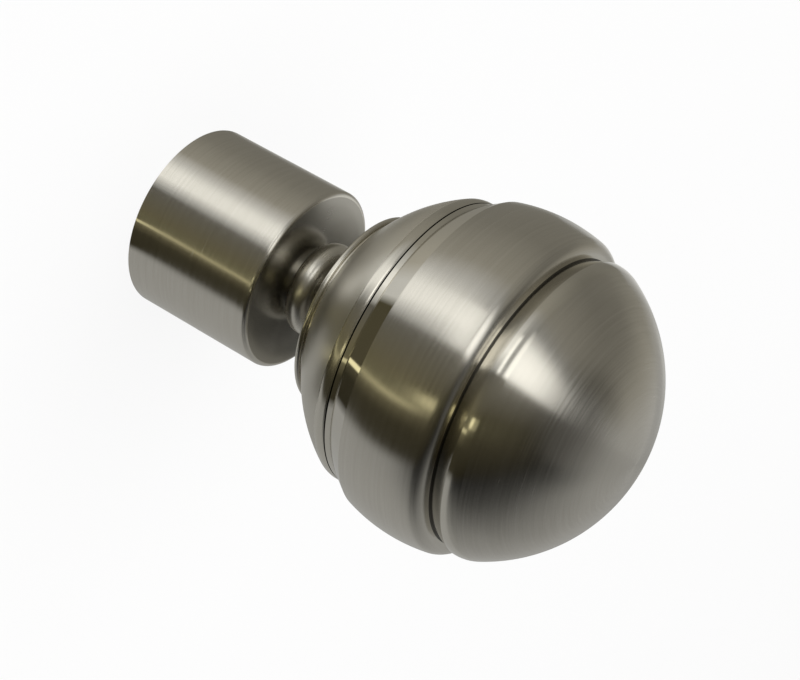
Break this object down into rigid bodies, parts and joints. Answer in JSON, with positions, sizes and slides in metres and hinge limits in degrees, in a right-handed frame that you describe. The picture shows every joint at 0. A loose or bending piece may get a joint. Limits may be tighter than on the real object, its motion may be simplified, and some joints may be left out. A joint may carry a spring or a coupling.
{
  "type": "curtain pole finial",
  "caption": "Ball finial that slips over the end of a round metal curtain pole: a plain cup with a blind socket, a beaded neck and a stepped, grooved ball in satin and polished nickel.",
  "frame": {"origin": "centre of the cup's mouth, in the plane of its rim", "axes": "+Z along the axis of the pole and finial, from the mouth towards the ball; X and Y are free, because the part is a body of revolution"},
  "size_m": [0.0552, 0.0552, 0.0868],
  "materials": {
    "satin_nickel": "nickel plate, satin brushed round the axis on the cup, the middle band and the dome, polished in the neck, the rear cap and the grooves"
  },
  "bodies": {
    "root": {"finial": "satin_nickel"}
  },
  "joints": []
}
